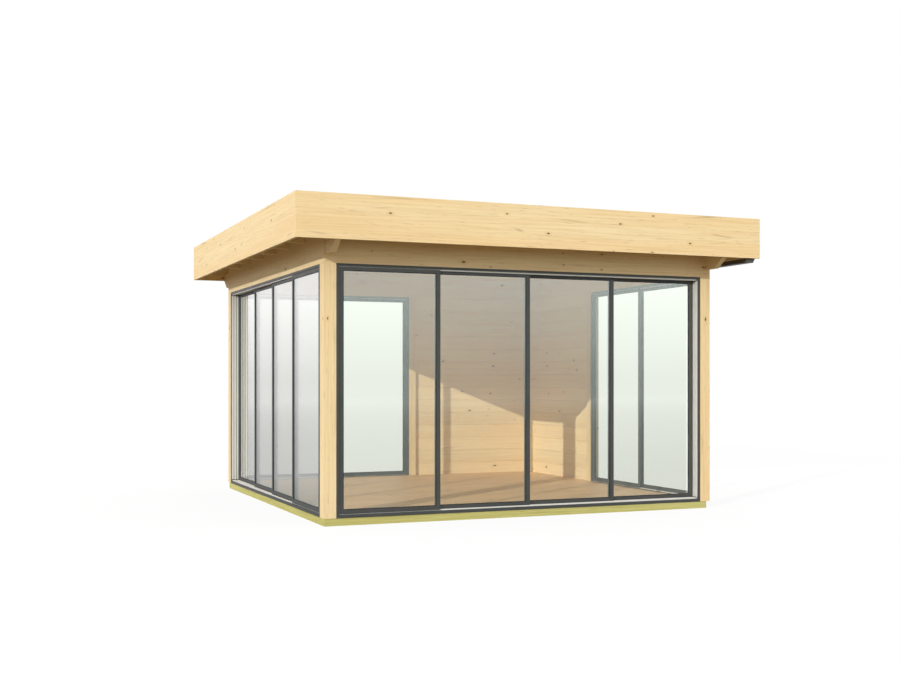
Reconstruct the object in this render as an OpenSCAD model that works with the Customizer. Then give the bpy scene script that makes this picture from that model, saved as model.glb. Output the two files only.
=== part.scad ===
// Flat-roofed garden log cabin with glazed telescopic sliding doors.
// Front is -Y, left is -X. The origin is the middle of the footprint, at the ground.

/* [Plan] */
// Width over the corner posts, left to right
cabin_w = 3580; // [3300:10:4200]
// Depth over the corner posts, front to back
cabin_d = 3580; // [3300:10:4200]

/* [Base and floor] */
// Height of the base beams
base_h = 60; // [45:1:100]
// Width of the base beams
base_w = 110; // [95:1:140]
// Distance from the front and left post faces in to the base beams
base_front_inset = 4; // [0:1:20]
// Ledge of the base beams outside the right door frame
base_right_ledge = 2; // [0:1:20]
// Ledge of the base beams outside the back door frame
base_back_ledge = 17; // [0:1:30]
// Width of a floor joist
joist_w = 45; // [35:1:70]
// Number of floor joists
joist_count = 5; // [3:1:8]
// Thickness of the floor deck
floor_t = 20; // [16:1:28]

/* [Posts] */
// Corner post size along the front and back walls
post_w = 100; // [90:1:130]
// Corner post size along the side walls
post_d = 115; // [110:1:140]
// Face width of the posts between glazing and log wall
mid_post_w = 75; // [60:1:100]

/* [Log walls] */
// Thickness of a wall log
log_t = 44; // [34:1:58]
// Number of log courses
log_count = 14; // [10:1:18]
// Depth of the post grooves that take the log ends
groove_depth = 15; // [10:1:20]
// Width of a log's tongue
tongue_w = 16; // [10:1:20]
// Height of a log's tongue
tongue_h = 8; // [5:1:12]
// Chamfer along the visible edges of a log
vee = 5; // [2:0.5:8]
// Fitting gap between logs, and between logs and grooves
log_fit = 0.3; // [0.2:0.1:0.6]

/* [Wall tops] */
// Height of the wall beams from the door heads up to the rafters' seat
seat_h = 213; // [190:1:260]
// Thickness of the wall plate's projecting corbel
corbel_t = 44; // [34:1:60]
// Height of the corbel
corbel_h = 145; // [100:1:160]
// Length of the corbel's flat underside
corbel_flat = 150; // [80:1:180]
// Height of the bevel at the corbel's end
corbel_bevel = 86; // [50:1:95]
// Distance from the outside faces of the posts in to the corbels
corbel_inset = 11; // [5:1:40]
// Gap between the corbel's end and the fascia
corbel_gap = 7; // [2:1:40]

/* [Roof] */
// Overhang of the roof past the posts, to the fascia face
overhang = 310; // [290:1:400]
// Thickness of the fascia boards
fascia_t = 28; // [18:1:35]
// Height of the fascia boards
fascia_h = 347; // [300:1:400]
// Distance that the fascia hangs below the rafters' seat
fascia_drop = 60; // [30:1:80]
// Width of a rafter
rafter_w = 45; // [35:1:60]
// Number of rafters between the front and back walls
rafter_count = 6; // [4:1:9]
// Rafter height at the left, high end
rafter_high = 160; // [140:1:190]
// Rafter height at the right, low end
rafter_low = 110; // [90:1:135]
// Thickness of the roof deck
deck_t = 19; // [15:1:24]
// Thickness of the roof membrane
membrane_t = 4; // [2:0.5:6]

/* [Right eave] */
// Distance from the post faces out to the rafter ends
eave_reach = 170; // [120:1:180]
// Thickness of the eave board
eave_board_t = 20; // [16:1:28]
// Distance that the deck runs past the eave board
drip = 15; // [5:1:30]
// Width of the gutter at its top
gutter_w = 110; // [90:1:118]
// Width of the gutter's flat bottom
gutter_floor_w = 70; // [50:1:80]
// Height of the gutter
gutter_h = 80; // [60:1:100]
// Wall thickness of the gutter
gutter_t = 3; // [2:0.5:4]
// Distance that the gutter hangs below the fascia
gutter_drop = 37; // [20:1:50]

/* [Sliding doors] */
// Height of the door frames
frame_h = 2002; // [1900:1:2200]
// Width of the back wall's glazed unit
back_unit_w = 1903; // [1500:1:2100]
// Width of the right wall's glazed unit
right_unit_w = 1885; // [1500:1:2100]
// Distance that the back and right units stand out from the posts' inside faces
pair_inset = 8; // [4:1:20]
// Height of the sill
sill_h = 26; // [20:1:40]
// Height of the head
head_h = 20; // [16:1:40]
// Width of a jamb
jamb_w = 26; // [16:1:40]
// Distance from track to track
track_pitch = 25; // [24.5:0.5:32]
// Margin of the frame beyond the faces of its first and last panels
frame_edge = 6; // [4:0.5:10]
// Thickness of a door panel
panel_t = 19; // [15:0.5:19]
// Width of a panel's stiles
stile_w = 34; // [28:1:60]
// Height of a panel's top rail
top_rail_h = 28; // [26:1:70]
// Height of a panel's bottom rail
bottom_rail_h = 33; // [30:1:90]
// Thickness of the glass
glass_t = 6; // [4:0.5:8]
// Depth that the glass goes into the panel's frame
rebate = 10; // [6:1:14]
// Gap between the glass and its rebate
glass_fit = 0.3; // [0.2:0.1:0.5]
// Thickness of a track's rail
rail_w = 4; // [3:0.5:5]
// Height of a track's rail
rail_h = 10; // [8:0.5:13]
// Width of the bright closing strips on the jambs
strip_w = 20; // [8:1:21]
// Thickness of the bright closing strips
strip_t = 3; // [2:0.5:5]
// Running gap round a sliding panel
run_gap = 5; // [5:0.5:7]
// Gap between a panel and the rail that carries it
seat_gap = 0.3; // [0.2:0.1:0.5]

/* [Hidden] */

spruce = "#f0d7a3";
treated_pine = "#c0bc70";
floor_brown = "#c5ab8c";
anthracite = "#55585a";
bright_aluminium = "#c9cbcc";
clear_glass = [0.80, 0.86, 0.88, 0.45];
roofing_grey = "#3a3b3d";
gutter_grey = "#3c3836";

// Half sizes of the plan
half_w = cabin_w / 2;
half_d = cabin_d / 2;

// Levels
frame_top = base_h + frame_h;
seat_z = frame_top + seat_h;
fascia_z = seat_z - fascia_drop;

// Inside faces of the posts
in_x = half_w - post_w;
in_y = half_d - post_d;

// Left sides of the two corbels at each end wall
corbel_left = corbel_inset - half_w;
corbel_right = half_w - corbel_inset - corbel_t;

// Roof edges: inside faces of the fascia boards, and the rafter ends at the right
roof_x = half_w + overhang;
roof_y = half_d + overhang;
roof_in_x = roof_x - fascia_t;
roof_in_y = roof_y - fascia_t;
eave_x = half_w + eave_reach;
gutter_x = eave_x + eave_board_t;

// Rafters: a barge rafter behind each end fascia, and an even row between the walls
rafter_gap = (2 * in_y - rafter_count * rafter_w) / (rafter_count + 1);
inner_rafters = [for (i = [0 : rafter_count - 1]) -in_y + rafter_gap + i * (rafter_gap + rafter_w)];

// Glazed units: panel counts, lengths and depths
wide_panels = 4;
pair_panels = 2;
front_unit_w = 2 * in_x;
left_unit_w = 2 * in_y;
pair_depth = unit_depth(pair_panels);
back_post_x = -in_x + back_unit_w;
right_post_y = -in_y + right_unit_w;
panel_z = sill_h + run_gap;
panel_h = frame_h - sill_h - head_h - 2 * run_gap;

// Outside faces of the base beams
base_left = base_front_inset - half_w;
base_right = in_x + pair_inset + pair_depth + base_right_ledge;
base_front = base_front_inset - half_d;
base_back = in_y + pair_inset + pair_depth + base_back_ledge;

// Course height of the log walls, and the middle lines of those walls
course = frame_h / log_count;
back_wall_y = half_d - post_d / 2;
right_wall_x = half_w - post_w / 2;

// Height of the roof deck's underside at a place along X
function under_z(x) =
    seat_z + rafter_high - (rafter_high - rafter_low) * (x + roof_in_x) / (eave_x + roof_in_x);

// Depth of a glazed unit that has n tracks
function unit_depth(n) = 2 * frame_edge + panel_t + (n - 1) * track_pitch;

// Middle of track k, measured in from the outside of its frame
function track_y(k) = frame_edge + panel_t / 2 + (k - 1) * track_pitch;

// Width of one of n panels whose meeting stiles overlap, in a unit of length l
function panel_w(l, n) = (l - 2 * jamb_w - run_gap + (n - 1) * stile_w) / n;

// Start of panel k along its unit
function panel_x(l, n, k) = jamb_w + (k - 1) * (panel_w(l, n) - stile_w);

// A box from its low corner to its high corner
module span(low, high) {
    translate(low) cube(high - low);
}

// A profile in X and Z, carried along Y
module along_y(y0, y1) {
    translate([0, y1, 0]) rotate([90, 0, 0]) linear_extrude(y1 - y0) children();
}

// A profile in Y and Z, carried along X
module along_x(x0, x1) {
    translate([x0, 0, 0]) rotate([90, 0, 90]) linear_extrude(x1 - x0) children();
}

// Base and floor

module base_beams_front_back() {
    color(treated_pine) for (y = [base_front, base_back - base_w])
        span([base_left, y, 0], [base_right, y + base_w, base_h]);
}

module base_beams_sides() {
    color(treated_pine) for (x = [base_left, base_right - base_w])
        span([x, base_front + base_w, 0], [x + base_w, base_back - base_w, base_h]);
}

module floor_joists() {
    room = base_right - base_left - 2 * base_w;
    gap = (room - joist_count * joist_w) / (joist_count + 1);
    color(treated_pine) for (i = [0 : joist_count - 1])
        translate([base_left + base_w + gap + i * (gap + joist_w), base_front + base_w, 0])
            cube([joist_w, base_back - base_front - 2 * base_w, base_h]);
}

// The deck reaches the door frames, and runs on to the logs beside the two log walls
module floor_deck() {
    front_y = -half_d + unit_depth(wide_panels);
    left_x = -half_w + unit_depth(wide_panels);
    log_y = back_wall_y - log_t / 2;
    log_x = right_wall_x - log_t / 2;
    color(floor_brown) translate([0, 0, base_h]) linear_extrude(floor_t) polygon([
        [left_x, front_y], [in_x, front_y],
        [in_x, -in_y], [in_x + pair_inset, -in_y],
        [in_x + pair_inset, right_post_y], [in_x, right_post_y],
        [in_x, right_post_y + mid_post_w], [log_x, right_post_y + mid_post_w],
        [log_x, in_y], [in_x, in_y],
        [in_x, log_y], [back_post_x + mid_post_w, log_y],
        [back_post_x + mid_post_w, in_y], [back_post_x, in_y],
        [back_post_x, in_y + pair_inset], [-in_x, in_y + pair_inset],
        [-in_x, in_y], [left_x, in_y]
    ]);
}

// Posts

module corner_post(sx, sy) {
    translate([sx > 0 ? in_x : -half_w, sy > 0 ? in_y : -half_d, base_h])
        cube([post_w, post_d, frame_h]);
}

// Groove that takes the ends of the back wall's logs, cut from x0 to x1
module back_groove(x0, x1) {
    half = log_t / 2 + log_fit;
    span([x0, back_wall_y - half, base_h - 1], [x1, back_wall_y + half, frame_top + 1]);
}

// Groove that takes the ends of the right wall's logs, cut from y0 to y1
module right_groove(y0, y1) {
    half = log_t / 2 + log_fit;
    span([right_wall_x - half, y0, base_h - 1], [right_wall_x + half, y1, frame_top + 1]);
}

module post_front_left() {
    color(spruce) corner_post(-1, -1);
}

module post_front_right() {
    color(spruce) corner_post(1, -1);
}

module post_back_left() {
    color(spruce) corner_post(-1, 1);
}

module post_back_right() {
    color(spruce) difference() {
        corner_post(1, 1);
        back_groove(in_x - 1, in_x + groove_depth);
        right_groove(in_y - 1, in_y + groove_depth);
    }
}

module middle_posts() {
    back_end = back_post_x + mid_post_w;
    right_end = right_post_y + mid_post_w;
    color(spruce) {
        difference() {
            span([back_post_x, in_y, base_h], [back_end, half_d, frame_top]);
            back_groove(back_end - groove_depth, back_end + 1);
        }
        difference() {
            span([in_x, right_post_y, base_h], [half_w, right_end, frame_top]);
            right_groove(right_end - groove_depth, right_end + 1);
        }
    }
}

// Log walls

// Section of one log: chamfered faces, a groove below and a tongue above
module log_section(has_groove, has_tongue) {
    top = course - (has_tongue ? log_fit : 0);
    half = log_t / 2;
    slot = tongue_w / 2 + log_fit;
    difference() {
        union() {
            polygon([
                [-half, vee], [vee - half, 0], [half - vee, 0], [half, vee],
                [half, top - vee], [half - vee, top], [vee - half, top], [-half, top - vee]
            ]);
            if (has_tongue)
                translate([-tongue_w / 2, top - 1]) square([tongue_w, tongue_h + 1]);
        }
        if (has_groove)
            translate([-slot, -1]) square([2 * slot, tongue_h + 1]);
    }
}

module back_log_wall() {
    x0 = back_post_x + mid_post_w - groove_depth + log_fit;
    x1 = in_x + groove_depth - log_fit;
    color(spruce) for (i = [0 : log_count - 1])
        translate([0, back_wall_y, base_h + i * course])
            along_x(x0, x1) log_section(i > 0, i < log_count - 1);
}

module right_log_wall() {
    y0 = right_post_y + mid_post_w - groove_depth + log_fit;
    y1 = in_y + groove_depth - log_fit;
    color(spruce) for (i = [0 : log_count - 1])
        translate([right_wall_x, 0, base_h + i * course])
            along_y(y0, y1) log_section(i > 0, i < log_count - 1);
}

// Wall tops

// Front and back wall beam, cut to the fall of the roof, with mortises for the side plates
module header(y0, y1) {
    difference() {
        along_y(y0, y1) polygon([
            [-half_w, frame_top], [half_w, frame_top],
            [half_w, under_z(half_w)], [-half_w, under_z(-half_w)]
        ]);
        for (x = [corbel_left, corbel_right])
            translate([x, y0 - 1, seat_z - corbel_h]) cube([corbel_t, y1 - y0 + 2, corbel_h]);
    }
}

module front_header() {
    color(spruce) header(-half_d, -in_y);
}

module back_header() {
    color(spruce) header(in_y, half_d);
}

// Section along the tenon that passes through a header and ends in a bevelled corbel
module corbel_section() {
    end = post_d + overhang - fascia_t - corbel_gap;
    polygon([
        [0, 0], [post_d + corbel_flat, 0], [end, corbel_bevel], [end, corbel_h], [0, corbel_h]
    ]);
}

// Side wall beam between the headers, notched for the rafters, with a corbel at each end
module wall_plate(x0, tenon_x) {
    x1 = x0 + post_w;
    difference() {
        along_y(-in_y, in_y) polygon([
            [x0, frame_top], [x1, frame_top], [x1, under_z(x1)], [x0, under_z(x0)]
        ]);
        for (y = inner_rafters)
            translate([x0 - 1, y, seat_z]) cube([post_w + 2, rafter_w, rafter_high]);
    }
    for (s = [0, 1]) mirror([0, s, 0])
        translate([0, in_y, seat_z - corbel_h]) along_x(tenon_x, tenon_x + corbel_t) corbel_section();
}

module left_wall_plate() {
    color(spruce) wall_plate(-half_w, corbel_left);
}

module right_wall_plate() {
    color(spruce) wall_plate(in_x, corbel_right);
}

// Roof

module rafter(y) {
    along_y(y, y + rafter_w) polygon([
        [-roof_in_x, seat_z], [eave_x, seat_z],
        [eave_x, under_z(eave_x)], [-roof_in_x, under_z(-roof_in_x)]
    ]);
}

module roof_rafters() {
    color(spruce) {
        rafter(-roof_in_y);
        rafter(roof_in_y - rafter_w);
        for (y = inner_rafters) rafter(y);
    }
}

// A layer of the roof between two heights above the rafters
module roof_layer(low, high) {
    x0 = -roof_in_x;
    x1 = gutter_x + drip;
    along_y(-roof_in_y, roof_in_y) polygon([
        [x0, under_z(x0) + low], [x1, under_z(x1) + low],
        [x1, under_z(x1) + high], [x0, under_z(x0) + high]
    ]);
}

module roof_deck() {
    color(spruce) roof_layer(0, deck_t);
}

module roof_membrane() {
    color(roofing_grey) roof_layer(deck_t, deck_t + membrane_t);
}

module end_fascia(y) {
    translate([-roof_x, y, fascia_z]) cube([2 * roof_x, fascia_t, fascia_h]);
}

module front_fascia() {
    color(spruce) end_fascia(-roof_y);
}

module back_fascia() {
    color(spruce) end_fascia(roof_in_y);
}

module left_fascia() {
    color(spruce) translate([-roof_x, -roof_in_y, fascia_z]) cube([fascia_t, 2 * roof_in_y, fascia_h]);
}

module right_eave_board() {
    color(spruce) along_y(-roof_in_y, roof_in_y) polygon([
        [eave_x, fascia_z], [gutter_x, fascia_z],
        [gutter_x, under_z(gutter_x)], [eave_x, under_z(eave_x)]
    ]);
}

// Section of the gutter's trough, drawn in by the wall thickness t on its closed sides
module trough_section(t) {
    slope = (gutter_w - gutter_floor_w) / gutter_h;
    side = t * sqrt(1 + slope * slope);
    lean = gutter_floor_w + slope * t - side;
    polygon([
        [t, t], [lean, t],
        [lean + slope * (gutter_h - t + (t > 0 ? 1 : 0)), gutter_h + (t > 0 ? 1 : 0)],
        [t, gutter_h + (t > 0 ? 1 : 0)]
    ]);
}

module gutter() {
    color(gutter_grey) translate([gutter_x, 0, fascia_z - gutter_drop]) difference() {
        along_y(-roof_in_y, roof_in_y) trough_section(0);
        along_y(-roof_in_y + gutter_t, roof_in_y - gutter_t) trough_section(gutter_t);
    }
}

// Glazed units. In a unit's own frame X runs along it from its fixed panel, Y runs in from
// its outside face, and Z starts at the top of the base.

module at_front() {
    translate([-in_x, -half_d, base_h]) children();
}

module at_left() {
    translate([-half_w, -in_y, base_h]) mirror([1, -1, 0]) children();
}

module at_back() {
    translate([-in_x, in_y + pair_inset + pair_depth, base_h]) mirror([0, 1, 0]) children();
}

module at_right() {
    translate([in_x + pair_inset + pair_depth, -in_y, base_h]) rotate([0, 0, 90]) children();
}

module sill(l, n) {
    cube([l, unit_depth(n), sill_h]);
}

module head(l, n) {
    translate([0, 0, frame_h - head_h]) cube([l, unit_depth(n), head_h]);
}

module jambs(l, n) {
    for (x = [0, l - jamb_w])
        translate([x, 0, sill_h]) cube([jamb_w, unit_depth(n), frame_h - sill_h - head_h]);
}

// Bright rails on the sill and under the head, and closing strips on the jambs
module rails(l, n) {
    run = l - 2 * jamb_w;
    strip_z = sill_h + rail_h + run_gap;
    strip_h = frame_h - head_h - rail_h - run_gap - strip_z;
    for (k = [1 : n]) translate([jamb_w, track_y(k), 0]) {
        translate([0, -rail_w / 2, sill_h]) cube([run, rail_w, rail_h]);
        translate([0, -rail_w / 2, frame_h - head_h - rail_h]) cube([run, rail_w, rail_h]);
        if (k > 1) translate([0, -strip_w / 2, strip_z]) cube([strip_t, strip_w, strip_h]);
        if (k < n) translate([run - strip_t, -strip_w / 2, strip_z]) cube([strip_t, strip_w, strip_h]);
    }
}

// Frame of panel k: stiles and rails round a rebate, grooved below and above for the rails
module panel_frame(l, n, k) {
    w = panel_w(l, n);
    pane_h = panel_h - top_rail_h - bottom_rail_h;
    slot_t = glass_t + 2 * glass_fit;
    groove_w = rail_w + 2 * run_gap;
    foot = rail_h + seat_gap - run_gap;
    color(anthracite) translate([panel_x(l, n, k), track_y(k), panel_z]) difference() {
        translate([0, -panel_t / 2, 0]) cube([w, panel_t, panel_h]);
        translate([stile_w, -panel_t, bottom_rail_h]) cube([w - 2 * stile_w, 2 * panel_t, pane_h]);
        translate([stile_w - rebate, -slot_t / 2, bottom_rail_h - rebate])
            cube([w - 2 * (stile_w - rebate), slot_t, pane_h + 2 * rebate]);
        translate([-1, -groove_w / 2, -1]) cube([w + 2, groove_w, foot + 1]);
        translate([-1, -groove_w / 2, panel_h - rail_h]) cube([w + 2, groove_w, rail_h + 1]);
    }
}

module panel_glass(l, n, k) {
    edge = stile_w - rebate + glass_fit;
    low = bottom_rail_h - rebate + glass_fit;
    high = panel_h - top_rail_h + rebate - glass_fit;
    color(clear_glass) translate([panel_x(l, n, k) + edge, track_y(k) - glass_t / 2, panel_z + low])
        cube([panel_w(l, n) - 2 * edge, glass_t, high - low]);
}

module door_sills() {
    color(anthracite) {
        at_front() sill(front_unit_w, wide_panels);
        at_left() sill(left_unit_w, wide_panels);
        at_back() sill(back_unit_w, pair_panels);
        at_right() sill(right_unit_w, pair_panels);
    }
}

module door_heads() {
    color(anthracite) {
        at_front() head(front_unit_w, wide_panels);
        at_left() head(left_unit_w, wide_panels);
        at_back() head(back_unit_w, pair_panels);
        at_right() head(right_unit_w, pair_panels);
    }
}

module door_jambs() {
    color(anthracite) {
        at_front() jambs(front_unit_w, wide_panels);
        at_left() jambs(left_unit_w, wide_panels);
        at_back() jambs(back_unit_w, pair_panels);
        at_right() jambs(right_unit_w, pair_panels);
    }
}

module track_rails() {
    color(bright_aluminium) {
        at_front() rails(front_unit_w, wide_panels);
        at_left() rails(left_unit_w, wide_panels);
        at_back() rails(back_unit_w, pair_panels);
        at_right() rails(right_unit_w, pair_panels);
    }
}

module fixed_panel_frames() {
    front_panel(1);
    left_panel(1);
    back_panel(1);
    right_panel(1);
}

module fixed_panel_glass() {
    front_glass(1);
    left_glass(1);
    back_glass(1);
    right_glass(1);
}

module front_panel(k) {
    at_front() panel_frame(front_unit_w, wide_panels, k);
}

module front_glass(k) {
    at_front() panel_glass(front_unit_w, wide_panels, k);
}

module left_panel(k) {
    at_left() panel_frame(left_unit_w, wide_panels, k);
}

module left_glass(k) {
    at_left() panel_glass(left_unit_w, wide_panels, k);
}

module back_panel(k) {
    at_back() panel_frame(back_unit_w, pair_panels, k);
}

module back_glass(k) {
    at_back() panel_glass(back_unit_w, pair_panels, k);
}

module right_panel(k) {
    at_right() panel_frame(right_unit_w, pair_panels, k);
}

module right_glass(k) {
    at_right() panel_glass(right_unit_w, pair_panels, k);
}

base_beams_front_back();
base_beams_sides();
floor_joists();
floor_deck();
post_front_left();
post_front_right();
post_back_left();
post_back_right();
middle_posts();
back_log_wall();
right_log_wall();
front_header();
back_header();
left_wall_plate();
right_wall_plate();
roof_rafters();
roof_deck();
roof_membrane();
front_fascia();
back_fascia();
left_fascia();
right_eave_board();
gutter();
door_sills();
door_heads();
door_jambs();
track_rails();
fixed_panel_frames();
fixed_panel_glass();
front_panel(2);  // front_panel_2
front_panel(3);  // front_panel_3
front_panel(4);  // front_panel_4
front_glass(2);  // front_glass_2
front_glass(3);  // front_glass_3
front_glass(4);  // front_glass_4
left_panel(2);  // left_panel_2
left_panel(3);  // left_panel_3
left_panel(4);  // left_panel_4
left_glass(2);  // left_glass_2
left_glass(3);  // left_glass_3
left_glass(4);  // left_glass_4
back_panel(2);  // back_panel_2
back_glass(2);  // back_glass_2
right_panel(2);  // right_panel_2
right_glass(2);  // right_glass_2
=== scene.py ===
"""Finish, boards, seals and stage of a flat-roofed garden log cabin with glazed sliding doors."""

import math

import bpy
import numpy as np
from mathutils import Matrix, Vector


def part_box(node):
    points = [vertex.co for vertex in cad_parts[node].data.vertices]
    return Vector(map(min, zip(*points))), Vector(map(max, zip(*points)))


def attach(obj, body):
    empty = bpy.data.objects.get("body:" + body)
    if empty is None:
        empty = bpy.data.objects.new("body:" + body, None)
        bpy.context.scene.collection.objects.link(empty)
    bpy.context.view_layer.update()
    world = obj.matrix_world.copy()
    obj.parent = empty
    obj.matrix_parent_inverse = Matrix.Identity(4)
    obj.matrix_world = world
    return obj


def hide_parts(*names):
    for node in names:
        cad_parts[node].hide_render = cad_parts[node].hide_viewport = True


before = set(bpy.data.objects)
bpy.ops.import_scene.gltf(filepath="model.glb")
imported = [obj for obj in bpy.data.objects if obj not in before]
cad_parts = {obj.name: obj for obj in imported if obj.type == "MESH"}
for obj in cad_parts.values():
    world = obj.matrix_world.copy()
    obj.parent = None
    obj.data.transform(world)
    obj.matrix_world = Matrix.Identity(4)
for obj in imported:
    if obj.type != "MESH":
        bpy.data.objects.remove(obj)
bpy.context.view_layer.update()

bl_info = {
    "name": "Garden log cabin finish",
    "version": (1, 0, 0),
    "blender": (4, 5, 0),
    "location": "View3D > Sidebar > Cabin",
    "description": "Finishes the cabin's timber, roof and glazing, and sets it on a plain stage",
    "category": "Object",
}

# Nodes of the cabin by finish
POSTS = ["post_front_left", "post_front_right", "post_back_left", "post_back_right", "middle_posts"]
BEAMS = ["front_header", "back_header", "left_wall_plate", "right_wall_plate"]
FASCIA = ["front_fascia", "back_fascia", "left_fascia", "right_eave_board"]
LOG_WALLS = ["back_log_wall", "right_log_wall"]
BASE = ["base_beams_front_back", "base_beams_sides", "floor_joists"]
DOOR_FRAMES = ["door_sills", "door_heads", "door_jambs", "fixed_panel_frames"]
DOORS = ["front_2", "front_3", "front_4", "left_2", "left_3", "left_4", "back_2", "right_2"]
PANELS = [door.replace("_", "_panel_") for door in DOORS]
PANES = [door.replace("_", "_glass_") for door in DOORS]

# Directions along the grain and across it, as sums of the cabin's axes that read on any upright face
LYING = ((1, 1, 0), (0, 0, 1))
STANDING = ((0, 0, 1), (1, 1, 0))
ALONG_X = ((1, 0, 0), (0, 1, 1))
ALONG_Y = ((0, 1, 0), (1, 0, 1))

# Logs in the height of a wall
LOGS = 14

# Strength of the figure in planed boards, and in the calmer logs
FIGURE, LOG_FIGURE = 0.55, 0.3

# A Mix node that mixes colours: the sockets of its two colours, and its output and setting
MIX_A, MIX_B = 6, 7
COLOURS = {"out": 2, "data_type": "RGBA"}
WHITE, BLACK = (1, 1, 1, 1), (0, 0, 0, 1)

# Brightness of the ground close by and of the horizon as glass mirrors them, before the cabin and behind it.
# In glass the ground glows with these set tones, a painted reflection in place of its own lit look.
CLOSE_TONE = (0.24, 0.50)
HORIZON_TONE = (0.58, 0.70)

# Width of the picture that the lens is given for, in millimetres
FILM_WIDTH = 36


def linear(code):
    """Linear red, green, blue and a full alpha of an sRGB hex colour such as F0D7A3."""
    srgb = np.array([int(code[i:i + 2], 16) for i in (0, 2, 4)]) / 255
    rgb = np.where(srgb <= 0.04045, srgb / 12.92, ((srgb + 0.055) / 1.055) ** 2.4)
    return (*rgb.tolist(), 1.0)


def colour(name, description, code):
    """A colour that a user may change, given as sRGB hex."""
    return bpy.props.FloatVectorProperty(
        name=name, description=description, default=linear(code), size=4, min=0, max=1, subtype="COLOR")


def length(name, description, metres):
    """A size that a user may change, in metres."""
    return bpy.props.FloatProperty(
        name=name, description=description, default=metres, min=0.0001, precision=4, unit="LENGTH")


class CabinSizes(bpy.types.PropertyGroup):
    """Sizes of the boards, seals and laps that finish the cabin, and of the grain in its timber."""

    floor_board: length("Floor board", "Width that one floor board covers", 0.120)
    roof_board: length("Roof board", "Width that one roof board covers", 0.121)
    board_vee: length("Board chamfer", "Chamfer along the edges of a board", 0.003)
    bite: length("Glass bite", "Width of glass that a panel's frame holds", 0.0097)
    seal: length("Glazing seal", "Width of the rubber seal round a pane", 0.005)
    roll: length("Roofing roll", "Width that one strip of roofing covers", 0.920)
    lap: length("Roofing lap", "Width of the lap between two strips of roofing", 0.100)
    lap_t: length("Lap thickness", "Thickness of one strip of roofing at its lap", 0.004)
    grain_w: length("Grain width", "Width of a streak of grain, coarsened until it shows", 0.016)
    grain_l: length("Grain length", "Length of a streak of grain", 0.700)
    ring_w: length("Ring width", "Distance between two dark growth lines", 0.060)
    ring_l: length("Ring length", "Length over which a growth line wanders", 4.000)
    dash_w: length("Dash width", "Width across which growth lines break off together", 0.080)
    dash_l: length("Dash length", "Length of an unbroken growth line", 0.350)
    knot: length("Knot", "Height of the largest knot", 0.022)
    knot_gap: length("Knot spacing", "Distance from knot to knot across the grain", 0.170)
    fleck_w: length("Fleck width", "Width of a resin fleck, coarsened until it shows", 0.007)
    fleck_l: length("Fleck length", "Length of a resin fleck", 0.140)


class CabinColours(bpy.types.PropertyGroup):
    """Colours of the cabin's finishes."""

    spruce: colour("Spruce", "Early wood of planed spruce", "F4DEAF")
    spruce_warm: colour("Spruce, warm", "Broad warmer bands in the spruce", "F0D19B")
    spruce_grain: colour("Spruce grain", "Late wood streaks in the spruce", "D9B377")
    knot: colour("Knot", "Heart of a knot", "6E4F28")
    floor: colour("Floor", "Oiled floor boards", "F8D5A4")
    floor_warm: colour("Floor, warm", "Broad warmer bands in the floor boards", "F0C68F")
    floor_grain: colour("Floor grain", "Late wood streaks in the floor boards", "C49A68")
    treated: colour("Treated pine", "Green tinted treated pine", "CEC982")
    treated_warm: colour("Treated pine, warm", "Broad warmer bands in the treated pine", "C5BC70")
    treated_grain: colour("Treated grain", "Late wood streaks in the treated pine", "98934A")
    anthracite: colour("Anthracite", "Powder coat of the door frames", "474846")
    aluminium: colour("Aluminium", "Anodised rails and closing strips", "F3EFE6")
    rubber: colour("Rubber", "Glazing seals", "1B1C1D")
    roofing: colour("Roofing", "Mineral grit of the roofing felt", "4A4B4D")
    gutter: colour("Gutter", "Coated steel of the gutter", "524B46")
    glass: colour("Glass", "Tint of the view through one face of a pane", "F2F3F0")
    glass_soft: colour("Glass, soft light", "Share of soft light that passes one face of a pane", "E7E7E5")


class CabinStage(bpy.types.PropertyGroup):
    """Light, ground and camera of the picture."""

    sun_travel: bpy.props.FloatVectorProperty(
        name="Sun direction", description="Direction in which sunlight travels",
        default=(0.781, 0.553, -0.298), size=3, subtype="DIRECTION")
    sun_strength: bpy.props.FloatProperty(
        name="Sun strength", description="Strength of the sun on a face square to it", default=2.05, min=0)
    sun_size: bpy.props.FloatProperty(
        name="Sun size", description="Angle that the sun covers, which softens its shadows",
        default=math.radians(0.3), min=0, subtype="ANGLE")
    sky_front: bpy.props.FloatProperty(
        name="Sky strength, front", description="Light from the sky before the cabin", default=1.08, min=0)
    sky_back: bpy.props.FloatProperty(
        name="Sky strength, back", description="Light from the sky behind the cabin", default=0.82, min=0)
    sky_image: colour("Mirrored sky", "Sky before the cabin, as glass mirrors it", "EBF8F5")
    ground: colour("Ground", "Plain pale ground, as it lights the cabin", "867D6C")
    ground_reach: length("Ground reach", "Distance from the cabin to the ground's edge", 60.0)
    camera_place: bpy.props.FloatVectorProperty(
        name="Camera place", description="Where the camera stands", default=(-4.395, -10.68, 1.154), size=3,
        subtype="TRANSLATION", unit="LENGTH")
    camera_heading: bpy.props.FloatProperty(
        name="Camera heading", description="Turn of the level camera to the right of +Y",
        default=math.radians(22.425), subtype="ANGLE")
    camera_lens: bpy.props.FloatProperty(
        name="Lens", description="Focal length on a 36 mm frame, in millimetres", default=47.232, min=1)
    camera_rise: bpy.props.FloatProperty(
        name="Rise", description="Vertical shift of the frame, as a share of its width", default=0.04597)


# Materials

def node(tree, kind, inputs=None, out=0, **settings):
    """Adds a shader node with its settings. inputs maps a socket's name or number to a value or to
    another node's output. Returns the output socket that out names, if the node has outputs."""
    made = tree.nodes.new("ShaderNode" + kind)
    for name, value in settings.items():
        setattr(made, name, value)
    for name, value in (inputs or {}).items():
        if isinstance(value, bpy.types.NodeSocket):
            tree.links.new(value, made.inputs[name])
        else:
            made.inputs[name].default_value = value
    return made.outputs[out] if made.outputs else None


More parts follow.
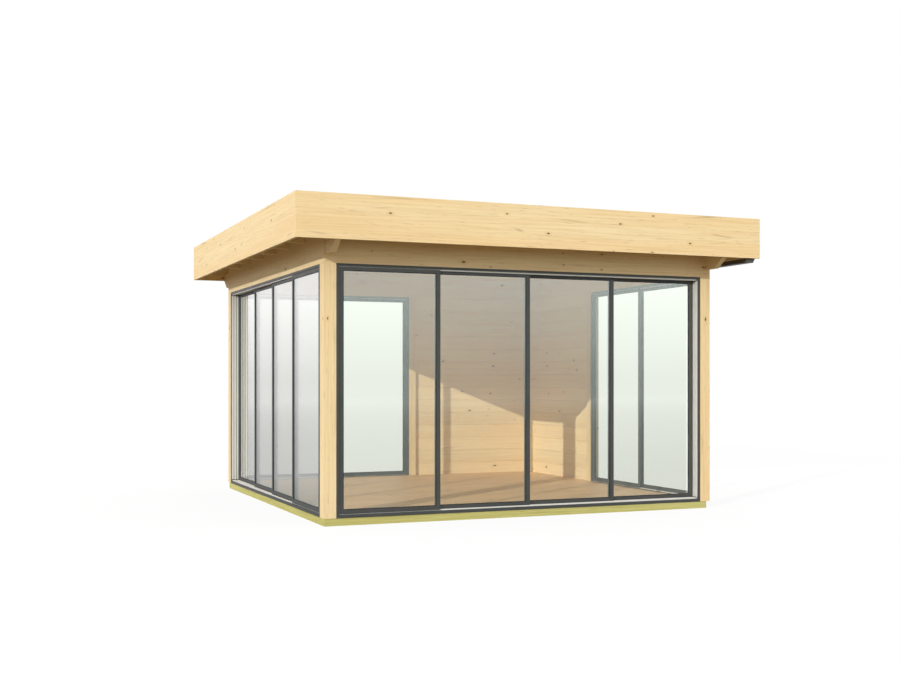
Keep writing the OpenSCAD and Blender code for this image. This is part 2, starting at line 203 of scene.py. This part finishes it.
def blank(name):
    """A new material with no nodes, and its tree."""
    material = bpy.data.materials.new(name)
    material.use_nodes = True
    material.node_tree.nodes.clear()
    return material, material.node_tree


def softwood(name, tones, grain, roughness, course=None, figure=FIGURE):
    """Planed softwood. tones are the colours of early wood, broad bands, late wood and knots. grain holds
    the directions along and across the fibres. course gives the foot and pitch of boards that lie side by
    side, each of which shifts its figure and its tone by a random amount of its own. figure is the strength
    of the streaks, and sets that of lines and flecks."""
    sizes = bpy.context.scene.cabin_sizes
    early, band, late, heart = tones
    material, tree = blank(name)
    point = node(tree, "TexCoord", out="Object")
    along, across = [
        node(tree, "VectorMath", {0: point, 1: way}, "Value", operation="DOT_PRODUCT") for way in grain]
    if course:
        foot, pitch = course
        # Each board's figure moves along it by up to ten metres
        farthest = 10.0
        level = node(tree, "Math", {0: across, 1: foot}, operation="SUBTRACT")
        level = node(tree, "Math", {0: level, 1: pitch}, operation="DIVIDE")
        board = node(tree, "Math", {0: level}, operation="FLOOR")
        tone = node(tree, "TexWhiteNoise", {"W": board}, "Value", noise_dimensions="1D")
        shift = node(tree, "Math", {0: tone, 1: farthest}, operation="MULTIPLY")
        along = node(tree, "Math", {0: along, 1: shift}, operation="ADD")
    plane = node(tree, "CombineXYZ", {"X": along, "Y": across})

    # Streaks of late wood: noise drawn out along the fibres
    streak_at = node(tree, "Mapping", {0: plane, "Scale": (1 / sizes.grain_l, 1 / sizes.grain_w, 1)})
    streak = node(tree, "TexNoise", {"Vector": streak_at, "Scale": 1, "Detail": 4, "Roughness": 0.6})

    # Broad bands, and growth lines where their noise, spread over nine levels, crosses a whole number. The
    # noise spans under half of its range, so a band holds about four lines. A noise of its own breaks them.
    lines_in_band, levels, line_share = 4, 9.0, 0.07
    band_w = lines_in_band * sizes.ring_w
    band_at = node(tree, "Mapping", {0: plane, "Scale": (1 / sizes.ring_l, 1 / band_w, 1)})
    broad = node(tree, "TexNoise", {"Vector": band_at, "Scale": 1, "Detail": 2, "Distortion": 0.2})
    wave = node(tree, "Math", {0: broad, 1: levels}, operation="MULTIPLY")
    wave = node(tree, "Math", {0: wave, 1: 0.5}, operation="PINGPONG")
    line = node(tree, "MapRange", {0: wave, 1: 0.0, 2: line_share, 3: 1.0, 4: 0.0})
    aside = (3.7, 1.9, 0)
    dash_at = node(tree, "Mapping", {
        0: plane, "Scale": (1 / sizes.dash_l, 1 / sizes.dash_w, 1), "Location": aside})
    dash = node(tree, "TexNoise", {"Vector": dash_at, "Scale": 1, "Detail": 1})
    dash = node(tree, "MapRange", {0: dash, 1: 0.52, 2: 0.68, 3: 0.0, 4: 1.0})
    line = node(tree, "Math", {0: line, 1: dash}, operation="MULTIPLY")

    # Resin flecks: short thin dashes where a noise drawn out along the fibres peaks
    fleck_at = node(tree, "Mapping", {0: plane, "Scale": (1 / sizes.fleck_l, 1 / sizes.fleck_w, 1)})
    fleck = node(tree, "TexNoise", {"Vector": fleck_at, "Scale": 1, "Detail": 1})
    fleck = node(tree, "MapRange", {0: fleck, 1: 0.66, 2: 0.78, 3: 0.0, 4: 0.8 * figure})

    # Knots: one in about half of the cells of a random pattern, twice as long as high, each with its own size
    empty_share = 0.45
    cell_at = node(tree, "Mapping", {0: plane, "Scale": (0.5 / sizes.knot_gap, 1 / sizes.knot_gap, 1)})
    away = node(tree, "TexVoronoi", {"Vector": cell_at, "Scale": 1}, "Distance", voronoi_dimensions="2D")
    pick = node(tree, "SeparateXYZ", {0: away.node.outputs["Color"]})
    reach = 0.5 * sizes.knot / sizes.knot_gap
    radius = node(tree, "MapRange", {0: pick, 1: empty_share, 2: 1.0, 3: 0.0, 4: reach})
    core = node(tree, "Math", {0: radius, 1: 0.5}, operation="MULTIPLY")
    knot = node(tree, "MapRange", {0: away, 1: radius, 2: core, 3: 0.0, 4: 1.0})
    halo = node(tree, "Math", {0: radius, 1: 3.0}, operation="MULTIPLY")
    halo = node(tree, "MapRange", {0: away, 1: halo, 2: radius, 3: 0.0, 4: 0.35})

    # Paint: bands over the early wood, then streaks, the knots' halos, and the dark lines, flecks and knots
    banded = node(tree, "MapRange", {0: broad, 1: 0.35, 2: 0.65, 3: 0.0, 4: 0.8})
    paint = node(tree, "Mix", {0: banded, MIX_A: early, MIX_B: band}, **COLOURS)
    drawn = node(tree, "MapRange", {0: streak, 1: 0.40, 2: 0.75, 3: 0.0, 4: figure})
    paint = node(tree, "Mix", {0: drawn, MIX_A: paint, MIX_B: late}, **COLOURS)
    paint = node(tree, "Mix", {0: halo, MIX_A: paint, MIX_B: late}, **COLOURS)
    lined = node(tree, "Math", {0: line, 1: 0.6 * figure}, operation="MULTIPLY")
    lined = node(tree, "Math", {0: lined, 1: fleck}, operation="MAXIMUM")
    marks = node(tree, "Math", {0: lined, 1: knot}, operation="MAXIMUM")
    paint = node(tree, "Mix", {0: marks, MIX_A: paint, MIX_B: heart}, **COLOURS)
    if course:
        value = node(tree, "MapRange", {0: tone, 1: 0.0, 2: 1.0, 3: 0.98, 4: 1.07})
        paint = node(tree, "HueSaturation", {"Value": value, "Color": paint})

    # Late wood stands proud and shines a little, and the dark marks lie low
    sheen = 0.06
    relief = node(tree, "Math", {0: streak, 1: marks}, operation="SUBTRACT")
    normal = node(tree, "Bump", {"Strength": 0.25, "Distance": 0.001, "Height": relief})
    gloss = node(tree, "MapRange", {0: streak, 1: 0.3, 2: 0.7, 3: roughness + sheen, 4: roughness - sheen})
    surface = node(tree, "BsdfPrincipled", {
        "Base Color": paint, "Roughness": gloss, "Normal": normal, "IOR": 1.5, "Specular IOR Level": 0.3})
    node(tree, "OutputMaterial", {"Surface": surface})
    return material


def spruce(name, grain, course=None, figure=FIGURE):
    """Planed and oiled spruce: pale straw yellow with faint streaks, few thin dark lines and small knots."""
    tones = bpy.context.scene.cabin_colours
    shades = (tones.spruce, tones.spruce_warm, tones.spruce_grain, tones.knot)
    return softwood(name, shades, grain, roughness=0.58, course=course, figure=figure)


def oiled_boards(course):
    """Oiled softwood floor boards: nut brown, with stronger streaks than the walls and a soft sheen."""
    tones = bpy.context.scene.cabin_colours
    shades = (tones.floor, tones.floor_warm, tones.floor_grain, tones.knot)
    return softwood("oiled_floor_boards", shades, ALONG_X, roughness=0.5, course=course)


def treated_pine():
    """Pressure-treated pine: the salts leave a yellow green cast over a sawn, dry surface."""
    tones = bpy.context.scene.cabin_colours
    shades = (tones.treated, tones.treated_warm, tones.treated_grain, tones.knot)
    return softwood("pressure_treated_pine", shades, LYING, roughness=0.75)


def powder_coat():
    """Anthracite powder coat on extruded aluminium: an even satin grey with a very fine orange peel."""
    tones = bpy.context.scene.cabin_colours
    material, tree = blank("anthracite_powder_coat")
    point = node(tree, "TexCoord", out="Object")
    # Orange peel is about 0.5 mm from crest to crest. It is drawn at 4 mm so that it shows. Dust and handling
    # leave patches about 150 mm across that are a little duller.
    crest, smear = 0.004, 0.150
    peel = node(tree, "TexNoise", {"Vector": point, "Scale": 1 / crest, "Detail": 2})
    patch = node(tree, "TexNoise", {"Vector": point, "Scale": 1 / smear, "Detail": 3})
    gloss = node(tree, "MapRange", {0: patch, 1: 0.3, 2: 0.7, 3: 0.36, 4: 0.48})
    shade = node(tree, "MapRange", {0: patch, 1: 0.3, 2: 0.7, 3: 0.92, 4: 1.08})
    paint = node(tree, "HueSaturation", {"Value": shade, "Color": tones.anthracite})
    normal = node(tree, "Bump", {"Strength": 0.08, "Distance": 0.0005, "Height": peel})
    surface = node(tree, "BsdfPrincipled", {
        "Base Color": paint, "Roughness": gloss, "Normal": normal, "IOR": 1.5})
    node(tree, "OutputMaterial", {"Surface": surface})
    return material


def anodised_aluminium():
    """Natural anodised aluminium: a pale satin oxide skin on bright metal, with die lines along the rail."""
    tones = bpy.context.scene.cabin_colours
    material, tree = blank("anodised_aluminium")
    point = node(tree, "TexCoord", out="Object")
    # Die lines are well under 1 mm apart. They are drawn 3 mm apart, and 400 mm long, so that they show.
    line_l, line_gap = 0.400, 0.003
    lines_at = node(tree, "Mapping", {0: point, "Scale": (1 / line_l, 1 / line_l, 1 / line_gap)})
    lines = node(tree, "TexNoise", {"Vector": lines_at, "Scale": 1, "Detail": 2})
    gloss = node(tree, "MapRange", {0: lines, 1: 0.3, 2: 0.7, 3: 0.50, 4: 0.62})
    surface = node(tree, "BsdfPrincipled", {
        "Base Color": tones.aluminium, "Metallic": 0.4, "Roughness": gloss})
    node(tree, "OutputMaterial", {"Surface": surface})
    return material


def safety_glass():
    """Toughened float glass: clear, with a mirror film that grows and a view through that fades at a flat
    angle. A pane has two faces, and each mirrors its own share. A pane behind another stays clear. Lamps
    shine straight through, and soft light passes a little weakened."""
    tones = bpy.context.scene.cabin_colours
    mirror_share, flat_angle_power = 0.205, 2.2
    # A ray that has passed more faces than this has left the first pane
    first_pane = 1.5
    material, tree = blank("toughened_glass")
    facing = node(tree, "LayerWeight", {"Blend": 0.5}, "Facing")
    rise = node(tree, "Math", {0: facing, 1: flat_angle_power}, operation="POWER")
    tint = node(tree, "Mix", {0: rise, MIX_A: tones.glass, MIX_B: BLACK}, **COLOURS)
    share = node(tree, "MapRange", {0: rise, 1: 0.0, 2: 1.0, 3: mirror_share, 4: 1.0})
    faded = node(tree, "BsdfTransparent", {"Color": tint})
    film = node(tree, "BsdfAnisotropic", {"Color": share, "Roughness": 0.0})
    pane = node(tree, "AddShader", {0: faded, 1: film})
    lamp_ray = node(tree, "LightPath", out="Is Shadow Ray")
    soft_ray = lamp_ray.node.outputs["Is Diffuse Ray"]
    light_ray = node(tree, "Math", {0: lamp_ray, 1: soft_ray}, operation="MAXIMUM")
    passing = node(tree, "Mix", {0: soft_ray, MIX_A: tones.glass, MIX_B: tones.glass_soft}, **COLOURS)
    passing = node(tree, "Mix", {0: lamp_ray, MIX_A: passing, MIX_B: WHITE}, **COLOURS)
    clear = node(tree, "BsdfTransparent", {"Color": passing})
    depth = lamp_ray.node.outputs["Transparent Depth"]
    behind = node(tree, "Math", {0: depth, 1: first_pane}, operation="GREATER_THAN")
    plain = node(tree, "Math", {0: light_ray, 1: behind}, operation="MAXIMUM")
    surface = node(tree, "MixShader", {0: plain, 1: pane, 2: clear})
    node(tree, "OutputMaterial", {"Surface": surface})
    return material


def seal_rubber():
    """Extruded rubber: near black and matt, dusty in patches about 60 mm long."""
    tones = bpy.context.scene.cabin_colours
    material, tree = blank("extruded_rubber")
    point = node(tree, "TexCoord", out="Object")
    smear = 0.060
    dust = node(tree, "TexNoise", {"Vector": point, "Scale": 1 / smear, "Detail": 3})
    gloss = node(tree, "MapRange", {0: dust, 1: 0.3, 2: 0.7, 3: 0.60, 4: 0.80})
    surface = node(tree, "BsdfPrincipled", {"Base Color": tones.rubber, "Roughness": gloss})
    node(tree, "OutputMaterial", {"Surface": surface})
    return material


def roofing_felt():
    """Bitumen felt with mineral grit: dull dark grey, speckled and rough, paler where grit lies thick."""
    tones = bpy.context.scene.cabin_colours
    material, tree = blank("gritted_bitumen_felt")
    point = node(tree, "TexCoord", out="Object")
    # Grit is about 1 mm. It is drawn at 6 mm so that it shows. It lies thick in drifts about 450 mm across.
    grain, drift = 0.006, 0.450
    grit = node(tree, "TexVoronoi", {"Vector": point, "Scale": 1 / grain}, "Color")
    speck = node(tree, "SeparateXYZ", {0: grit})
    bloom = node(tree, "TexNoise", {"Vector": point, "Scale": 1 / drift, "Detail": 4})
    value = node(tree, "MapRange", {0: speck, 1: 0.0, 2: 1.0, 3: 0.65, 4: 1.35})
    paint = node(tree, "HueSaturation", {"Value": value, "Color": tones.roofing})
    fade = node(tree, "MapRange", {0: bloom, 1: 0.35, 2: 0.7, 3: 0.85, 4: 1.2})
    paint = node(tree, "HueSaturation", {"Value": fade, "Color": paint})
    normal = node(tree, "Bump", {"Strength": 0.5, "Distance": 0.002, "Height": speck})
    surface = node(tree, "BsdfPrincipled", {"Base Color": paint, "Roughness": 0.9, "Normal": normal})
    node(tree, "OutputMaterial", {"Surface": surface})
    return material


def coated_steel():
    """Coated sheet steel: dark brown grey, satin, with faint water marks down its height."""
    tones = bpy.context.scene.cabin_colours
    material, tree = blank("coated_sheet_steel")
    point = node(tree, "TexCoord", out="Object")
    # A water mark is about 30 mm wide and 300 mm long
    mark_w, mark_l = 0.030, 0.300
    marks_at = node(tree, "Mapping", {0: point, "Scale": (1 / mark_w, 1 / mark_w, 1 / mark_l)})
    marks = node(tree, "TexNoise", {"Vector": marks_at, "Scale": 1, "Detail": 3})
    gloss = node(tree, "MapRange", {0: marks, 1: 0.3, 2: 0.7, 3: 0.34, 4: 0.50})
    shade = node(tree, "MapRange", {0: marks, 1: 0.3, 2: 0.7, 3: 0.9, 4: 1.1})
    paint = node(tree, "HueSaturation", {"Value": shade, "Color": tones.gutter})
    surface = node(tree, "BsdfPrincipled", {"Base Color": paint, "Roughness": gloss})
    node(tree, "OutputMaterial", {"Surface": surface})
    return material


# Meshes

def finish_nodes(names, material):
    """Gives CAD nodes their finish."""
    for name in names:
        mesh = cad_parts[name].data
        mesh.materials.clear()
        mesh.materials.append(material)


def node_points(name):
    """Every vertex of a CAD node, as rows of x, y, z."""
    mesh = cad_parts[name].data
    points = np.empty(3 * len(mesh.vertices))
    mesh.vertices.foreach_get("co", points)
    return points.reshape(-1, 3)


def add_mesh(name, points, faces, material):
    """A mesh object at the origin, made of an array of points and a list of faces."""
    mesh = bpy.data.meshes.new(name)
    mesh.from_pydata(points.reshape(-1, 3), [], faces)
    mesh.materials.append(material)
    made = bpy.data.objects.new(name, mesh)
    bpy.context.scene.collection.objects.link(made)
    return made


def sections(*corners):
    """Profiles of several bars. Each corner is a pair of places, one for every bar or one for all."""
    return np.stack([np.stack(np.broadcast_arrays(*corner), 1) for corner in corners], 1)


def carried(profiles, low, high, axis):
    """Straight bars: each closed profile is carried along an axis from low to high.

    profiles has the shape (bars, points, 2). Its two columns are the axes that follow axis in the round
    X, Y, Z, and it turns counterclockwise in them, so that faces point outwards. low and high are given for
    every bar, or once for all.
    """
    bars, count, _ = profiles.shape
    points = np.empty((bars, 2, count, 3))
    points[:, 0, :, axis] = np.reshape(low, (-1, 1))
    points[:, 1, :, axis] = np.reshape(high, (-1, 1))
    points[..., (axis + 1) % 3] = profiles[:, None, :, 0]
    points[..., (axis + 2) % 3] = profiles[:, None, :, 1]
    first = (2 * count * np.arange(bars))[:, None]
    step = np.arange(count)
    after = (step + 1) % count
    sides = np.stack([first + step, first + after, first + count + after, first + count + step], -1)
    caps = np.concatenate([first + step[::-1], first + count + step])
    return points, sides.reshape(-1, 4).tolist() + caps.tolist()


def looped(low, high, profile, thin):
    """A frame with mitred corners: a closed profile carried round the rectangle between two corners.

    thin is the axis square to the rectangle. A point of the frame is a corner of the rectangle, drawn in by
    the profile's first column along both sides, and its second column is its place along thin. Where the
    shell encloses a negative volume its faces are turned round.
    """
    count = len(profile)
    signs = np.array([(-1, -1), (1, -1), (1, 1), (-1, 1)])
    middle, half = (low + high) / 2, (high - low) / 2
    points = np.empty((4, count, 3))
    for column, axis in enumerate(axis for axis in range(3) if axis != thin):
        points[..., axis] = middle[axis] + signs[:, column, None] * (half[axis] - profile[:, 0])
    points[..., thin] = profile[:, 1]
    corner, step = np.meshgrid(np.arange(4), np.arange(count), indexing="ij")
    turn, after = (corner + 1) % 4, (step + 1) % count
    ring = [corner * count + step, corner * count + after, turn * count + after, turn * count + step]
    points, faces = points.reshape(-1, 3), np.stack(ring, -1).reshape(-1, 4)
    a, b, c, d = (points[faces[:, k]] - middle for k in range(4))
    volume = np.sum(a * np.cross(b, c)) + np.sum(a * np.cross(c, d))
    return points, faces if volume > 0 else faces[:, ::-1]


def joined(shells):
    """Several shells of points and four-sided faces as one."""
    first = np.cumsum([0] + [len(points) for points, _ in shells[:-1]])
    points = np.concatenate([points for points, _ in shells])
    faces = np.concatenate([start + faces for start, (_, faces) in zip(first, shells)])
    return points, faces.tolist()


def pane_seals(low, high, sizes):
    """The two seals of a pane between its lowest and highest corners: a rounded wedge on each face of the
    glass, from the edge of the panel's frame inwards."""
    thin = int(np.argmin(high - low))
    edge, width = sizes.bite, sizes.seal
    # Section of a seal: how far in from the edge of the glass, and how high above its face
    inward = edge + width * np.array([0, 1, 0.9, 0.5, 0])
    height = width * np.array([0, 0, 0.35, 0.7, 0.8])
    return [looped(low, high, np.stack([inward, face[thin] + side * height], 1), thin)
            for face, side in ((low, -1), (high, 1))]


def roof_fall():
    """Thickness of the roof deck, and the height that the roof loses per metre towards +X."""
    low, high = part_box("roof_deck")
    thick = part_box("roof_membrane")[0].z - low.z
    return thick, (high.z - low.z - thick) / (high.x - low.x)


def fixed_panes():
    """Lowest and highest corner of each fixed pane, found at the four outer sides of their node."""
    points = node_points("fixed_panel_glass")
    low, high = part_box("front_glass_2")
    # A pane is every point that lies less than this behind its outer face
    depth = 1.5 * (high.y - low.y)
    boxes = []
    for axis in (0, 1):
        for sign in (-1, 1):
            outward = sign * points[:, axis]
            pane = points[outward > outward.max() - depth]
            boxes.append((pane.min(0), pane.max(0)))
    return boxes


# Stage

def pale_ground():
    """Plain pale ground: a matt grey that lights the cabin from below. The camera sees it as white paper that
    keeps a share of the cabin's shadow. In glass it glows with set tones, a painted reflection of the ground."""
    stage = bpy.context.scene.cabin_stage
    shadow_share = 0.12
    material, tree = blank("pale_ground")
    matt = node(tree, "BsdfDiffuse", {"Color": stage.ground})
    white = node(tree, "Emission", {"Color": WHITE, "Strength": 1.0})
    chalk = node(tree, "BsdfDiffuse", {"Color": WHITE})
    paper = node(tree, "MixShader", {0: shadow_share, 1: white, 2: chalk})
    camera_ray = node(tree, "LightPath", out="Is Camera Ray")
    through = camera_ray.node.outputs["Is Transmission Ray"]
    seen = node(tree, "Math", {0: camera_ray, 1: through}, operation="MAXIMUM")
    # In glass the ground glows as a painted reflection: dim close by, dimmest before the cabin, and far off
    # it meets the sky's tone. The tones before the cabin give way to those behind it between two lines a few
    # metres off.
    line, near, far_off = 3.0, 2.0, 45.0
    place = node(tree, "SeparateXYZ", {0: node(tree, "NewGeometry", out="Position")}, "Y")
    off = node(tree, "Math", {0: place}, operation="ABSOLUTE")
    close = node(tree, "MapRange", {0: place, 1: -line, 2: line, 3: CLOSE_TONE[0], 4: CLOSE_TONE[1]})
    far = node(tree, "MapRange", {0: place, 1: -line, 2: line, 3: HORIZON_TONE[0], 4: HORIZON_TONE[1]})
    pale = node(tree, "MapRange", {0: off, 1: near, 2: far_off, 3: close, 4: far})
    side = node(tree, "MapRange", {0: place, 1: -line, 2: line, 3: 0.0, 4: 1.0})
    tint = node(tree, "Mix", {0: side, MIX_A: stage.sky_image, MIX_B: WHITE}, **COLOURS)
    # Painted reflection: for glass rays the ground glows with these tones instead of showing how the lamps
    # light it
    mirrored = node(tree, "Emission", {"Color": tint, "Strength": pale})
    glossy = camera_ray.node.outputs["Is Glossy Ray"]
    unseen = node(tree, "MixShader", {0: glossy, 1: matt, 2: mirrored})
    surface = node(tree, "MixShader", {0: seen, 1: unseen, 2: paper})
    node(tree, "OutputMaterial", {"Surface": surface})
    return material


def light_sky(scene):
    """A pale sky. Seen directly it is plain white, in glass and metal it is faintly green blue and dims
    towards the horizon, and as light on the cabin it has the strengths that the stage gives."""
    stage = scene.cabin_stage
    # Where the sky before the cabin has turned into the sky behind it, and where the horizon's haze ends, as
    # parts of a direction of length 1
    turn, haze = 0.5, 0.075
    world = bpy.data.worlds.new("pale_sky")
    world.use_nodes = True
    tree = world.node_tree
    tree.nodes.clear()
    way = node(tree, "TexCoord", out="Generated")
    up = node(tree, "SeparateXYZ", {0: way}, "Z")
    side = node(tree, "MapRange", {0: up.node.outputs["Y"], 1: -turn, 2: turn, 3: 0.0, 4: 1.0})
    horizon = node(tree, "MapRange", {0: side, 1: 0.0, 2: 1.0, 3: HORIZON_TONE[0], 4: HORIZON_TONE[1]})
    mirrored = node(tree, "MapRange", {0: up, 1: 0.0, 2: haze, 3: horizon, 4: 1.0})
    tint = node(tree, "Mix", {0: side, MIX_A: stage.sky_image, MIX_B: WHITE}, **COLOURS)
    camera_ray = node(tree, "LightPath", out="Is Camera Ray")
    glossy = camera_ray.node.outputs["Is Glossy Ray"]
    through = camera_ray.node.outputs["Is Transmission Ray"]
    seen = node(tree, "Math", {0: camera_ray, 1: through}, operation="MAXIMUM")
    strength = node(tree, "MapRange", {0: side, 1: 0.0, 2: 1.0, 3: stage.sky_front, 4: stage.sky_back})
    light = node(tree, "Background", {"Color": WHITE, "Strength": strength})
    image = node(tree, "Background", {"Color": tint, "Strength": mirrored})
    paper = node(tree, "Background", {"Color": WHITE, "Strength": 1.0})
    unseen = node(tree, "MixShader", {0: glossy, 1: light, 2: image})
    surface = node(tree, "MixShader", {0: seen, 1: unseen, 2: paper})
    node(tree, "OutputWorld", {"Surface": surface})
    scene.world = world


# Operators

class CABIN_OT_timber(bpy.types.Operator):
    """Finish posts, wall beams, rafters, fascia and log walls in spruce, and the base in treated pine"""

    bl_idname = "cabin.timber"
    bl_label = "Timber"

    def execute(self, context):
        finish_nodes(POSTS, spruce("planed_spruce_standing", STANDING))
        finish_nodes(BEAMS + FASCIA, spruce("planed_spruce_lying", LYING))
        finish_nodes(["roof_rafters"], spruce("planed_spruce_rafters", ALONG_X))
        low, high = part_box("back_log_wall")
        course = (low.z, (high.z - low.z) / LOGS)
        finish_nodes(LOG_WALLS, spruce("planed_spruce_logs", LYING, course, LOG_FIGURE))
        finish_nodes(BASE, treated_pine())
        return {"FINISHED"}


class CABIN_OT_floor(bpy.types.Operator):
    """Lay the floor boards between the door frames, with strips out to the sills and the logs"""

    bl_idname = "cabin.floor"
    bl_label = "Floor boards"

    def execute(self, context):
        sizes = context.scene.cabin_sizes
        # The corners of the deck, to 0.01 mm, give where boards end at the posts, the sills and the logs
        deck = np.round(node_points("floor_deck"), 5)
        far_x, left_x, post_x, logs_x, in_x, sill_x, wall_x = np.unique(deck[:, 0])
        front_y, post_y, mid_y, log_y, in_y, sill_y, wall_y = np.unique(deck[:, 1])
        low_z, high_z = np.unique(deck[:, 2])
        rows = round((in_y - front_y) / sizes.floor_board)
        edges = np.linspace(front_y, in_y, rows + 1)
        boards = np.stack([np.full(rows, left_x), np.full(rows, in_x), edges[:-1], edges[1:]], 1)
        strips = [
            (in_x, sill_x, post_y, mid_y), (in_x, wall_x, log_y, in_y),
            (far_x, post_x, in_y, sill_y), (logs_x, in_x, in_y, wall_y)]
        x0, x1, y0, y1 = np.concatenate([boards, strips]).T
        vee = sizes.board_vee
        # Section of a board: a rectangle with its two upper edges chamfered
        profiles = sections(
            (y0, low_z), (y1, low_z), (y1, high_z - vee),
            (y1 - vee, high_z), (y0 + vee, high_z), (y0, high_z - vee))
        points, faces = carried(profiles, x0, x1, 0)
        pitch = edges[1] - edges[0]
        piece = add_mesh("floor_boards", points, faces, oiled_boards((front_y, pitch)))
        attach(piece, "cabin")
        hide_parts("floor_deck")
        return {"FINISHED"}


class CABIN_OT_roof_boards(bpy.types.Operator):
    """Lay the roof boards across the rafters, with chamfered joints below"""

    bl_idname = "cabin.roof_boards"
    bl_label = "Roof boards"

    def execute(self, context):
        sizes = context.scene.cabin_sizes
        low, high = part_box("roof_deck")
        thick, fall = roof_fall()
        rows = round((high.x - low.x) / sizes.roof_board)
        edges = np.linspace(low.x, high.x, rows + 1)
        x0, x1 = edges[:-1], edges[1:]
        vee = sizes.board_vee
        under0, under1 = low.z + fall * (high.x - x0), low.z + fall * (high.x - x1)
        # Section of a board: a strip that follows the fall, with its two lower edges chamfered
        profiles = sections(
            (under0 + vee, x0), (under0 + thick, x0), (under1 + thick, x1), (under1 + vee, x1),
            (under1, x1 - vee), (under0, x0 + vee))
        points, faces = carried(profiles, low.y, high.y, 1)
        wood = spruce("planed_spruce_roof_boards", ALONG_Y, (low.x, edges[1] - edges[0]))
        piece = add_mesh("roof_boards", points, faces, wood)
        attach(piece, "cabin")
        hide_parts("roof_deck")
        return {"FINISHED"}


class CABIN_OT_roofing(bpy.types.Operator):
    """Finish the roofing felt and lay its laps, each strip over the one below it"""

    bl_idname = "cabin.roofing"
    bl_label = "Roofing"

    def execute(self, context):
        sizes = context.scene.cabin_sizes
        felt = roofing_felt()
        finish_nodes(["roof_membrane"], felt)
        low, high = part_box("roof_membrane")
        _, fall = roof_fall()
        x1 = np.arange(high.x - sizes.roll, low.x + sizes.roll / 2, -sizes.roll)
        x0 = x1 - sizes.lap
        top0, top1 = high.z - fall * (x0 - low.x), high.z - fall * (x1 - low.x)
        # Section of a lap: a wedge that rises from nothing to the strip's own thickness at its lower edge
        profiles = sections((top0, x0), (top1 + sizes.lap_t, x1), (top1, x1))
        points, faces = carried(profiles, low.y, high.y, 1)
        piece = add_mesh("roofing_laps", points, faces, felt)
        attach(piece, "cabin")
        return {"FINISHED"}


class CABIN_OT_gutter(bpy.types.Operator):
    """Finish the gutter in coated steel"""

    bl_idname = "cabin.gutter"
    bl_label = "Gutter"

    def execute(self, context):
        finish_nodes(["gutter"], coated_steel())
        return {"FINISHED"}


class CABIN_OT_glazing(bpy.types.Operator):
    """Finish the door frames, the panels, their rails and the glass"""

    bl_idname = "cabin.glazing"
    bl_label = "Glazing"

    def execute(self, context):
        finish_nodes(DOOR_FRAMES + PANELS, powder_coat())
        finish_nodes(["track_rails"], anodised_aluminium())
        finish_nodes(["fixed_panel_glass"] + PANES, safety_glass())
        return {"FINISHED"}


class CABIN_OT_seals(bpy.types.Operator):
    """Fit a rubber seal round both faces of every pane"""

    bl_idname = "cabin.seals"
    bl_label = "Glazing seals"

    def execute(self, context):
        sizes = context.scene.cabin_sizes
        material = seal_rubber()
        groups = {"fixed": ("cabin", fixed_panes())}
        for door, pane in zip(DOORS, PANES):
            groups[door] = (door.replace("_", "_door_"), [np.array(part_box(pane))])
        for name, (body, panes) in groups.items():
            rings = [ring for low, high in panes for ring in pane_seals(low, high, sizes)]
            points, faces = joined(rings)
            piece = add_mesh("seals_" + name, points, faces, material)
            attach(piece, body)
        return {"FINISHED"}


class CABIN_OT_stage(bpy.types.Operator):
    """Lay the ground, and set the light and the camera"""

    bl_idname = "cabin.stage"
    bl_label = "Stage"

    def execute(self, context):
        scene = context.scene
        stage = scene.cabin_stage
        reach = stage.ground_reach
        corners = np.array([(-reach, -reach, 0), (reach, -reach, 0), (reach, reach, 0), (-reach, reach, 0)])
        add_mesh("ground", corners, [(0, 1, 2, 3)], pale_ground())
        light_sky(scene)

        sun = bpy.data.lights.new("sun", "SUN")
        sun.energy = stage.sun_strength
        sun.angle = stage.sun_size
        lamp = bpy.data.objects.new("sun", sun)
        lamp.rotation_euler = Vector(stage.sun_travel).to_track_quat("-Z", "Y").to_euler()
        scene.collection.objects.link(lamp)

        lens = bpy.data.cameras.new("camera")
        lens.sensor_width = FILM_WIDTH
        lens.lens = stage.camera_lens
        lens.shift_y = stage.camera_rise
        camera = bpy.data.objects.new("camera", lens)
        camera.location = stage.camera_place
        camera.rotation_euler = (math.pi / 2, 0, -stage.camera_heading)
        scene.collection.objects.link(camera)
        scene.camera = camera
        scene.view_settings.view_transform = "Standard"
        return {"FINISHED"}


class CABIN_PT_finish(bpy.types.Panel):
    """Sizes, colours and steps of the cabin's finish"""

    bl_idname = "CABIN_PT_finish"
    bl_label = "Log cabin"
    bl_space_type = "VIEW_3D"
    bl_region_type = "UI"
    bl_category = "Cabin"

    def draw(self, context):
        for operator in OPERATORS:
            self.layout.operator(operator.bl_idname)
        for group in GROUPS:
            box = self.layout.box()
            settings = getattr(context.scene, group)
            for name in settings.bl_rna.properties.keys():
                if name not in ("name", "rna_type"):
                    box.prop(settings, name)


GROUPS = {"cabin_sizes": CabinSizes, "cabin_colours": CabinColours, "cabin_stage": CabinStage}
OPERATORS = [
    CABIN_OT_timber, CABIN_OT_floor, CABIN_OT_roof_boards, CABIN_OT_roofing, CABIN_OT_gutter,
    CABIN_OT_glazing, CABIN_OT_seals, CABIN_OT_stage]


def register():
    """Registers the classes, and hangs the settings on the scene."""
    for made in [*GROUPS.values(), *OPERATORS, CABIN_PT_finish]:
        bpy.utils.register_class(made)
    for name, group in GROUPS.items():
        setattr(bpy.types.Scene, name, bpy.props.PointerProperty(type=group))


def unregister():
    """Takes away what register added."""
    for name in GROUPS:
        delattr(bpy.types.Scene, name)
    for made in [CABIN_PT_finish, *reversed(OPERATORS), *reversed(GROUPS.values())]:
        bpy.utils.unregister_class(made)


def main():
    """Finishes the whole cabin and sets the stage."""
    register()
    for operator in OPERATORS:
        getattr(bpy.ops.cabin, operator.bl_idname.split(".")[1])()


if __name__ == "__main__":
    main()
